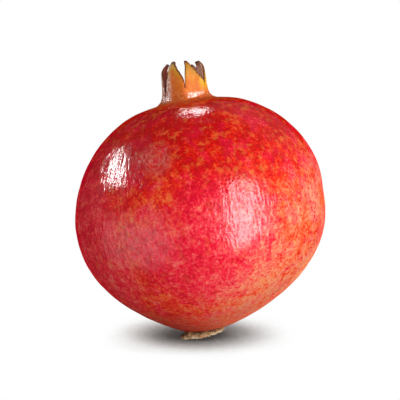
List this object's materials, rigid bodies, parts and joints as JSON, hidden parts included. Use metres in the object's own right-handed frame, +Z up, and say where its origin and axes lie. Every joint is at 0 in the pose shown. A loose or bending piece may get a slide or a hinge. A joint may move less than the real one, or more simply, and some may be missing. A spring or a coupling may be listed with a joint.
{
  "type": "pomegranate",
  "caption": "Whole ripe pomegranate standing on its dried stem stub, with the open, pointed crown of its calyx on top.",
  "frame": {"origin": "on the surface that the fruit stands on, below the middle of its bounding box", "axes": "+Z up from the stem stub to the crown, -Y towards the front, +X to the front view's right"},
  "size_m": [0.0948, 0.0966, 0.1066],
  "materials": {
    "rind": "waxy leathery skin, crimson to orange-red, speckled",
    "bark": "dry torn bark and pale fibre",
    "dried_filament": "dried, matt, brittle"
  },
  "bodies": {
    "root": {"fruit": "rind", "stem": "bark", "stamens": "dried_filament", "style": "dried_filament"}
  },
  "joints": []
}
